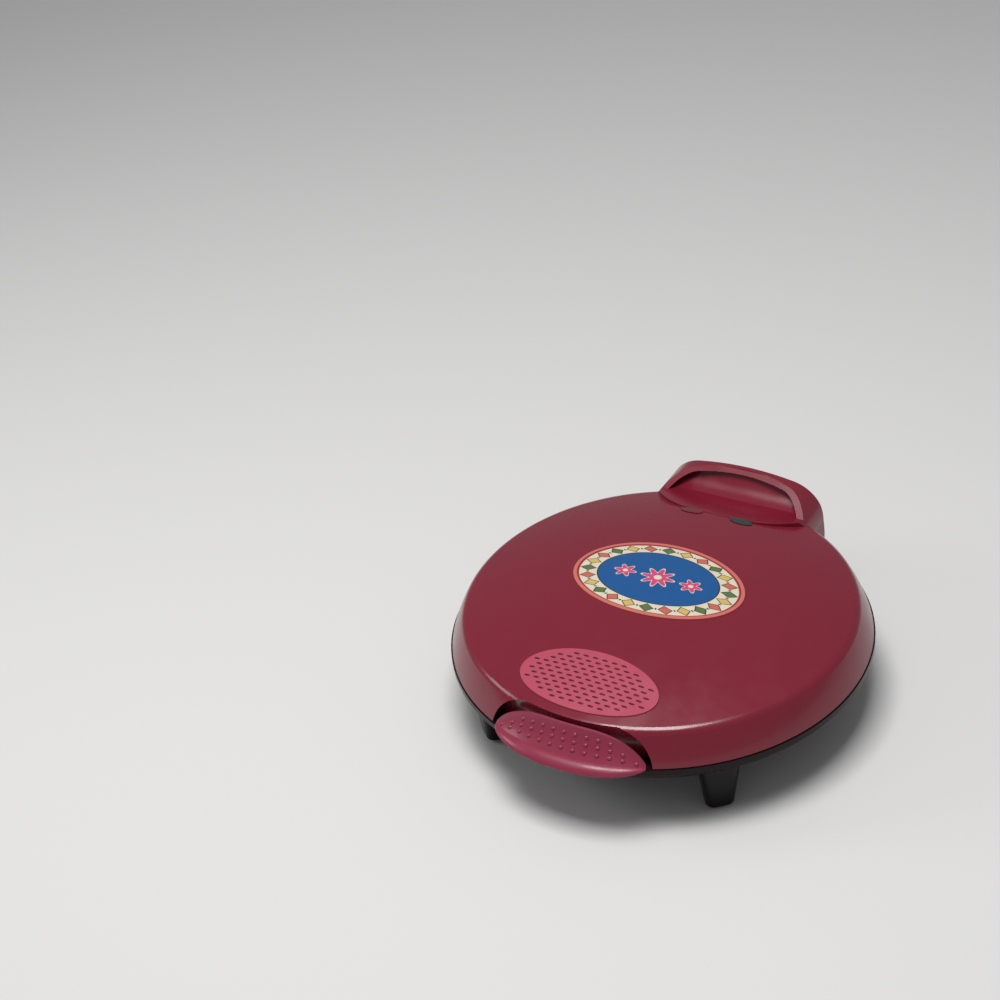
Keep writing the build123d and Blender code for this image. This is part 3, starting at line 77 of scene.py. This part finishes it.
class Finish:  # one material, its principled shader and its nodes
    def __init__(self, name, roughness, metallic=0.0, coat=0.0, coatRoughness=0.05):
        self.material = bpy.data.materials.new(name)
        self.material.use_nodes = True
        self.tree = self.material.node_tree
        self.shader = self.tree.nodes["Principled BSDF"]
        self.shader.inputs["Metallic"].default_value = metallic
        self.shader.inputs["Roughness"].default_value = roughness
        self.shader.inputs["Coat Weight"].default_value = coat
        self.shader.inputs["Coat Roughness"].default_value = coatRoughness
        self.place = self.node("ShaderNodeTexCoord", out="Object")

    def node(self, kind, settings=None, values=(), out=0):
        made = self.tree.nodes.new(kind)
        for key, value in (settings or {}).items():
            if key == "stops":
                while len(made.color_ramp.elements) < len(value):
                    made.color_ramp.elements.new(1.0)
                for element, (position, colour) in zip(made.color_ramp.elements, value):
                    element.position = position
                    element.color = colour
            else:
                setattr(made, key, value)
        for key, value in values.items() if isinstance(values, dict) else enumerate(values):
            self.feed(made.inputs[key], value)
        return Wire(self, made.outputs[out])

    def feed(self, socket, value):
        if isinstance(value, Wire):
            self.tree.links.new(value.socket, socket)
        elif value is not None:
            socket.default_value = value

    def noise(self, scale, detail=2.0, rough=0.5, stretch=None):  # scale in features per metre
        place = self.place
        if stretch:
            place = self.node("ShaderNodeMapping", {}, {"Vector": place, "Scale": stretch})
        values = {"Vector": place, "Scale": scale, "Detail": detail, "Roughness": rough}
        return self.node("ShaderNodeTexNoise", {}, values)

    def mix(self, amount, low, high):  # two colours
        values = {0: amount, 6: low, 7: high}
        return self.node("ShaderNodeMix", {"data_type": "RGBA"}, values, out=2)

    def axes(self):
        split = self.tree.nodes.new("ShaderNodeSeparateXYZ")
        self.feed(split.inputs[0], self.place)
        return [Wire(self, socket) for socket in split.outputs]

    def bump(self, height, strength, distance):
        values = {"Strength": strength, "Distance": distance, "Height": height}
        normal = self.node("ShaderNodeBump", {}, values)
        self.feed(self.shader.inputs["Normal"], normal)

    def colour(self, value):
        self.feed(self.shader.inputs["Base Color"], value)

    def rough(self, value):
        self.feed(self.shader.inputs["Roughness"], value)


def shade(colour, factor):
    return tuple(min(1.0, c * factor) for c in colour[:3]) + (1.0,)


# Moulded surfaces: colour, gloss, shine, how much the colour drifts, grain per metre and its depth.
finishSettings = {
    "lidCrimson": dict(
        colour=(0.195, 0.011, 0.027), roughness=0.25, coat=0.30,
        shine=0.40, drift=0.06, grain=900, depth=0.000004,
    ),
    "handleCrimson": dict(
        colour=(0.27, 0.024, 0.058), roughness=0.36, coat=0.15,
        shine=0.5, drift=0.08, grain=2600, depth=0.00001,
    ),
    "padCrimson": dict(
        colour=(0.43, 0.055, 0.095), roughness=0.62, coat=0.0,
        shine=0.4, drift=0.06, grain=3200, depth=0.00003,
    ),
    # The dashes' near-black crimson is painted shade: it stands in for the dark inside recessed dimples on
    # the pad.
    "dashPaintedShade": dict(
        colour=(0.070, 0.004, 0.012), roughness=0.55, coat=0.0,
        shine=0.3, drift=0.1, grain=3200, depth=0.00002,
    ),
    "badgeRim": dict(
        colour=(0.58, 0.15, 0.12), roughness=0.35, coat=0.2,
        shine=0.5, drift=0.05, grain=2400, depth=0.00001,
    ),
    # The base's crimson plastic darkened almost to black: painted shade for the dark it lies in under the
    # lid's skirt.
    "baseCrimsonPaintedShade": dict(
        colour=(0.012, 0.004, 0.006), roughness=0.28, coat=0.0,
        shine=0.16, drift=0.10, grain=900, depth=0.000004,
    ),
    "legBlack": dict(
        colour=(0.005, 0.003, 0.004), roughness=0.24, coat=0.0,
        shine=0.16, drift=0.15, grain=1600, depth=0.000006,
    ),
    "footRubber": dict(
        colour=(0.018, 0.018, 0.019), roughness=0.75, coat=0.0,
        shine=0.3, drift=0.2, grain=4000, depth=0.00006,
    ),
    "innerPlastic": dict(
        colour=(0.56, 0.50, 0.42), roughness=0.55, coat=0.0,
        shine=0.5, drift=0.06, grain=2000, depth=0.00003,
    ),
    "glandBlack": dict(
        colour=(0.02, 0.02, 0.022), roughness=0.5, coat=0.0,
        shine=0.4, drift=0.15, grain=3000, depth=0.00004,
    ),
    "wireSleeve": dict(
        colour=(0.66, 0.62, 0.54), roughness=0.8, coat=0.0,
        shine=0.3, drift=0.1, grain=5000, depth=0.00008,
    ),
}


def moulded(name, colour, roughness, coat, shine, drift, grain, depth):
    finish = Finish(name, roughness, coat=coat)
    finish.shader.inputs["Specular IOR Level"].default_value = shine
    patches = finish.noise(9.0, 3.0)
    finish.colour(finish.mix(patches, shade(colour, 1 - drift), shade(colour, 1 + drift)))
    finish.rough(finish.noise(60.0, 4.0).ramp(0.3, 0.7, roughness * 0.85, roughness * 1.15))
    finish.bump(finish.noise(grain, 2.0), 0.5, depth)
    return finish


def metal(name, colour, roughness, streak, dull=0.0):
    finish = Finish(name, roughness, metallic=1.0)
    lines = finish.noise(220.0, 5.0, 0.65, stretch=streak)
    stains = finish.noise(30.0, 4.0)
    tone = finish.mix(lines, shade(colour, 0.85), shade(colour, 1.12))
    finish.colour(finish.mix(stains.ramp(0.45, 0.75, 0.0, dull), tone, shade(colour, 0.35)))
    finish.rough(lines.ramp(0.3, 0.7, roughness * 0.75, roughness * 1.3))
    finish.bump(lines, 0.25, 0.00005)
    return finish


def nonStick(name):
    finish = Finish(name, 0.34, coat=0.15, coatRoughness=0.3)
    specks = finish.noise(2600.0, 1.0)
    base = finish.mix(specks.ramp(0.62, 0.72), (0.022, 0.022, 0.024, 1), (0.075, 0.075, 0.08, 1))
    finish.colour(finish.mix(finish.noise(14.0, 4.0), base, (0.03, 0.03, 0.032, 1)))
    finish.rough(finish.noise(90.0, 3.0).ramp(0.3, 0.7, 0.28, 0.42))
    finish.bump(finish.noise(1500.0, 3.0), 0.4, 0.00006)
    return finish


def clearPlastic(name, colour):
    finish = Finish(name, 0.08, coat=0.5)
    finish.shader.inputs["Transmission Weight"].default_value = 0.35
    finish.shader.inputs["IOR"].default_value = 1.49
    finish.colour(finish.mix(finish.noise(200.0, 2.0), shade(colour, 0.8), shade(colour, 1.2)))
    finish.bump(finish.noise(1400.0, 1.0), 0.3, 0.00004)
    return finish


def polar(finish, x, y, halfWidth, halfDepth):  # radius and angle round a place, 1 at an oval's edge
    across, along = finish.axes()[:2]
    across, along = (across - x) / halfWidth, (along - y) / halfDepth
    return (across * across + along * along).calc("SQRT"), along.calc("ARCTAN2", across)


badge = {
    "centre": (0.0, 0.00525),
    "half": (0.0616, 0.0382),
    "fieldEdge": 0.735,
    "lozenges": 24,
    "lozengeRadius": 0.865,
    "rosettes": ((-0.0255, 0.0082, 6), (0.0, 0.0125, 8), (0.0255, 0.0082, 6)),
    "cream": (0.68, 0.62, 0.48, 1),
    "field": (0.008, 0.085, 0.27, 1),
    "ink": (0.03, 0.018, 0.016, 1),
    "rule": (0.30, 0.03, 0.035, 1),
    "tints": ((0.10, 0.16, 0.05, 1), (0.55, 0.13, 0.09, 1), (0.62, 0.42, 0.12, 1)),
    "petal": (0.60, 0.06, 0.17, 1),
}


def badgeFinish(name):
    finish = Finish(name, 0.38, coat=0.1)
    x, y = badge["centre"]
    radius, angle = polar(finish, x, y, *badge["half"])
    turn = angle * (badge["lozenges"] / (2 * math.pi))
    offCentre = (turn.calc("FRACT") - 0.5).calc("ABSOLUTE")
    offRow = (radius - badge["lozengeRadius"]).calc("ABSOLUTE")
    lozenge = offCentre * 2.5 + offRow * 9.5
    kind = turn.calc("FLOOR").calc("FLOORED_MODULO", 3.0)
    tint = finish.mix(kind.calc("GREATER_THAN", 0.5), badge["tints"][0], badge["tints"][1])
    tint = finish.mix(kind.calc("GREATER_THAN", 1.5), tint, badge["tints"][2])
    paper = finish.mix(finish.noise(160.0, 3.0), shade(badge["cream"], 0.9), shade(badge["cream"], 1.08))
    band = finish.mix(lozenge.ramp(0.98, 1.06, 1.0, 0.0), paper, badge["ink"])
    band = finish.mix(lozenge.ramp(0.80, 0.88, 1.0, 0.0), band, tint)
    ticks = ((turn + 0.5).calc("FRACT") - 0.5).calc("ABSOLUTE") * 6.0 + offRow * 14.0
    band = finish.mix(ticks.ramp(0.35, 0.45, 1.0, 0.0), band, badge["ink"])
    edge = badge["fieldEdge"]
    colour = finish.mix(radius.ramp(edge + 0.012, edge + 0.02), badge["ink"], band)
    colour = finish.mix(radius.ramp(edge - 0.004, edge + 0.004), badge["field"], colour)
    for shift, size, petals in badge["rosettes"]:
        reach, heading = polar(finish, x + shift, y, size, size * badge["half"][1] / badge["half"][0] * 1.35)
        petal = reach - ((heading * petals).calc("COSINE") * 0.26 + 0.74)
        colour = finish.mix(petal.ramp(0.06, 0.09, 1.0, 0.0), colour, badge["cream"])
        colour = finish.mix(petal.ramp(-0.04, -0.01, 1.0, 0.0), colour, badge["petal"])
        colour = finish.mix(reach.ramp(0.22, 0.26, 1.0, 0.0), colour, badge["cream"])
    colour = finish.mix(radius.ramp(0.968, 0.976), colour, badge["rule"])
    finish.colour(colour)
    finish.rough(finish.noise(80.0, 3.0).ramp(0.3, 0.7, 0.26, 0.34))
    finish.bump(finish.noise(1800.0, 2.0), 0.3, 0.00002)
    return finish


finishes = {name: moulded(name, **values) for name, values in finishSettings.items()}
finishes["brightSteel"] = metal("brightSteel", (0.56, 0.56, 0.57), 0.30, (1, 1, 6))
finishes["elementSteel"] = metal("elementSteel", (0.20, 0.18, 0.17), 0.45, (1, 1, 4), dull=0.6)
finishes["shieldSheet"] = metal("shieldSheet", (0.72, 0.72, 0.73), 0.34, (1, 14, 1), dull=0.15)
finishes["nonStick"] = nonStick("nonStick")
finishes["lensRed"] = clearPlastic("lensRed", (0.22, 0.01, 0.02))
finishes["lensGreen"] = clearPlastic("lensGreen", (0.008, 0.05, 0.028))
finishes["lampGlass"] = clearPlastic("lampGlass", (0.7, 0.66, 0.6))
finishes["badgePrint"] = badgeFinish("badgePrint")

slotFinish = {
    "lid_red": "lidCrimson",
    "handle_red": "handleCrimson",
    "pad_red": "padCrimson",
    "badge_rim": "badgeRim",
    "badge_print": "badgePrint",
    "lens_red": "lensRed",
    "lens_green": "lensGreen",
    "lamp_glass": "lampGlass",
    # the base's crimson, darkened with painted shade
    "base_red": "baseCrimsonPaintedShade",
    "leg_black": "legBlack",
    "foot_rubber": "footRubber",
    "nonstick": "nonStick",
    "element_steel": "elementSteel",
    "bright_steel": "brightSteel",
    "shield_sheet": "shieldSheet",
    "inner_plastic": "innerPlastic",
    "gland_black": "glandBlack",
    "wire_sleeve": "wireSleeve",
}
nodeSlot = {row["node"]: row["material_slot"] for row in frame["record"]["subparts"]}
for node, obj in frame["nodes"].items():
    material = finishes[slotFinish[nodeSlot[node]]].material
    for slot in obj.material_slots:
        slot.material = material
print("materials on", len(frame["nodes"]), "nodes")

# ---- pieces that the frame doesn't have

outline = {"discY": 0.00525, "crown": 0.098, "domeRadius": 0.477167}


def domePoint(x, y, rise):  # a place on the lid, y behind the disc axis, and the way it faces
    reach = outline["domeRadius"] + rise
    height = math.sqrt(reach**2 - x**2 - y**2)
    place = Vector((x, outline["discY"] + y, outline["crown"] - outline["domeRadius"] + height))
    return place, Vector((x, y, height)).normalized()


def addPiece(name, mesh, finish, body):
    data = bpy.data.meshes.new(name)
    bmesh.ops.recalc_face_normals(mesh, faces=mesh.faces)
    for face in mesh.faces:
        face.smooth = True
    mesh.to_mesh(data)
    mesh.free()
    data.materials.append(finishes[finish].material)
    piece = bpy.data.objects.new(name, data)
    bpy.context.scene.collection.objects.link(piece)
    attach(piece, body)
    return piece


def addPill(mesh, place, facing, size, detail):  # a flattened ball whose third axis is the way it faces
    turn = Vector((0, 0, 1)).rotation_difference(facing).to_matrix().to_4x4()
    matrix = Matrix.Translation(place) @ turn @ Matrix.Diagonal((*size, 1.0))
    bmesh.ops.create_uvsphere(mesh, u_segments=detail, v_segments=detail // 2, radius=1.0, matrix=matrix)


dashes = {
    "centreY": -0.1077,
    "half": (0.0462, 0.0212),
    "pitch": (0.0072, 0.0037),
    "rows": 11,
    "perRow": 15,
    "rise": 0.00085,
    "size": (0.0025, 0.00085, 0.00050),
    "detail": 12,
}
# Raised pills on the pad, coloured near black as painted shade for recessed dimples.
dashMesh = bmesh.new()
dashCount = 0
for row in range(-(dashes["rows"] // 2), dashes["rows"] // 2 + 1):
    for column in range(-(dashes["perRow"] // 2), dashes["perRow"] // 2 + 1):
        x = (column + 0.5 * (row % 2)) * dashes["pitch"][0]
        y = row * dashes["pitch"][1]
        if (x / dashes["half"][0]) ** 2 + (y / dashes["half"][1]) ** 2 <= 1.0:
            place, facing = domePoint(x, dashes["centreY"] + y, dashes["rise"])
            addPill(dashMesh, place, facing, dashes["size"], dashes["detail"])
            dashCount += 1
addPiece("padDashes", dashMesh, "dashPaintedShade", "lid")
print("dashes on the pad", dashCount)

# Rows of grip bumps on the hollow face of the latch handle, as (fraction down the face, bumps in the row).
grip = {
    "rows": ((0.27, 9), (0.52, 11), (0.77, 13)),
    "pitch": 0.0085,
    "halfWidth": 0.0576,
    "skirt": 0.1503,
    "tipZ": 0.0539,
    "taper": (3.2, 0.72),
    "face": ((0.1427, 0.0758), (0.1472, 0.0665), (0.1545, 0.0582)),
    "size": (0.0017, 0.0015, 0.0011),
    "sink": 0.00015,
    "detail": 14,
}


def gripPlace(x, down):  # a place on the handle's face and the way it faces
    share = abs(x) / grip["halfWidth"]
    swell = (1 - share ** grip["taper"][0]) ** grip["taper"][1]
    first, middle, last = (Vector(point) for point in grip["face"])
    bend = middle * 2 - (first + last) / 2
    flat = first * (1 - down) ** 2 + bend * 2 * down * (1 - down) + last * down**2
    slope = (bend - first) * (1 - down) + (last - bend) * down
    radius = grip["skirt"] + (flat.x - grip["skirt"]) * swell
    height = grip["tipZ"] + (flat.y - grip["tipZ"]) * swell
    angle = math.asin(x / grip["skirt"])
    outward = Vector((math.sin(angle), -math.cos(angle), 0.0))
    facing = (outward * -slope.y + Vector((0, 0, slope.x))).normalized()
    place = outward * radius + Vector((0, outline["discY"], height))
    return place, facing


bumpMesh = bmesh.new()
for down, count in grip["rows"]:
    for index in range(count):
        place, facing = gripPlace((index - (count - 1) / 2) * grip["pitch"], down)
        addPill(bumpMesh, place - facing * grip["sink"], facing, grip["size"], grip["detail"])
addPiece("handleBumps", bumpMesh, "handleCrimson", "latch")
print("bumps on the handle", sum(count for down, count in grip["rows"]))

# The latch spring as wound wire with its two legs.
coil = {
    "centre": (0.0, -0.13795, 0.060),
    "radius": 0.0022,
    "wire": 0.00045,
    "half": 0.0085,
    "turns": 12,
    "steps": 20,
    "legUp": 0.0062,
    "legDown": 0.0027,
}
coilMesh = bmesh.new()
centre = Vector(coil["centre"])
start = Matrix.Translation(centre + Vector((-coil["half"], coil["radius"], 0)))
ring = bmesh.ops.create_circle(coilMesh, cap_ends=False, segments=8, radius=coil["wire"], matrix=start)
ringEdges = list({edge for vert in ring["verts"] for edge in vert.link_edges})
stepCount = coil["turns"] * coil["steps"]
bmesh.ops.spin(
    coilMesh,
    geom=ring["verts"] + ringEdges,
    cent=centre,
    axis=(1, 0, 0),
    dvec=(2 * coil["half"] / stepCount, 0, 0),
    angle=2 * math.pi * coil["turns"],
    steps=stepCount,
)
for x, y, low, high in (
    (-coil["half"], coil["radius"], 0.0, coil["legUp"]),
    (coil["half"], -coil["radius"], -coil["legDown"], 0.0),
):
    matrix = Matrix.Translation(centre + Vector((x, y, (low + high) / 2)))
    bmesh.ops.create_cone(
        coilMesh,
        cap_ends=True,
        segments=12,
        radius1=coil["wire"],
        radius2=coil["wire"],
        depth=high - low,
        matrix=matrix,
    )
spring = addPiece("springCoil", coilMesh, "brightSteel", "lid")
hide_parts("latch_spring")
print("spring wound")

# ---- floor, light and camera

studio = {
    "floorColour": (0.72, 0.71, 0.70, 1),
    "worldColour": (0.90, 0.92, 0.95, 1),
    "worldStrength": 0.26,
    "floorHalf": 30.0,
    "lights": {
        "keyLight": dict(place=(0.0, -0.25, 1.8), aim=(0, -0.08, 0.06), size=(0.9, 0.7), watts=27.0),
        "fillLight": dict(place=(-1.3, -0.5, 0.8), aim=(0, 0, 0.06), size=(0.5, 0.5), watts=3.0),
    },
}


def softLight(name, place, aim, size, watts):
    data = bpy.data.lights.new(name, "AREA")
    data.shape = "RECTANGLE"
    data.size, data.size_y = size
    data.energy = watts
    lamp = bpy.data.objects.new(name, data)
    bpy.context.scene.collection.objects.link(lamp)
    lamp.location = place
    lamp.rotation_euler = (Vector(aim) - Vector(place)).to_track_quat("-Z", "Y").to_euler()


floorMesh = bmesh.new()
bmesh.ops.create_grid(floorMesh, x_segments=2, y_segments=2, size=studio["floorHalf"])
floorData = bpy.data.meshes.new("floor")
floorMesh.to_mesh(floorData)
floorMesh.free()
floor = bpy.data.objects.new("floor", floorData)
bpy.context.scene.collection.objects.link(floor)
floorFinish = Finish("floorPaper", 0.85)
floorFinish.colour(studio["floorColour"])
floorData.materials.append(floorFinish.material)

world = bpy.data.worlds.new("studio")
world.use_nodes = True
world.node_tree.nodes["Background"].inputs["Color"].default_value = studio["worldColour"]
world.node_tree.nodes["Background"].inputs["Strength"].default_value = studio["worldStrength"]
bpy.context.scene.world = world

for name, values in studio["lights"].items():
    softLight(name, **values)

camera = {
    "target": (0.0, 0.00525, 0.077),
    "azimuth": 28.1,
    "elevation": 37.24,
    "roll": 3.34,
    "distance": 1.4489,
    "pan": 4.30,
    "tilt": 3.11,
    "focalPixels": 2032.74,
    "imagePixels": 1000,
    "sensorWidth": 36.0,
}


def placeCamera():
    azimuth, elevation = math.radians(camera["azimuth"]), math.radians(camera["elevation"])
    flat = math.cos(elevation)
    offset = Vector((math.sin(azimuth) * flat, -math.cos(azimuth) * flat, math.sin(elevation)))
    forward = -offset
    right = forward.cross(Vector((0, 0, 1))).normalized()
    up = right.cross(forward)
    pan = Matrix.Rotation(math.radians(camera["pan"]), 3, up)
    forward, right = pan @ forward, pan @ right
    tilt = Matrix.Rotation(math.radians(camera["tilt"]), 3, right)
    forward, up = tilt @ forward, tilt @ up
    roll = Matrix.Rotation(math.radians(camera["roll"]), 3, forward)
    right, up = roll @ right, roll @ up
    data = bpy.data.cameras.new("photoCamera")
    data.sensor_width = camera["sensorWidth"]
    data.lens = camera["focalPixels"] * data.sensor_width / camera["imagePixels"]
    obj = bpy.data.objects.new("photoCamera", data)
    bpy.context.scene.collection.objects.link(obj)
    turn = Matrix((right, up, -forward)).transposed()
    place = Vector(camera["target"]) + offset * camera["distance"]
    obj.matrix_world = Matrix.Translation(place) @ turn.to_4x4()
    bpy.context.scene.camera = obj


placeCamera()
bpy.context.scene.view_settings.view_transform = "Standard"
print("camera and light set")
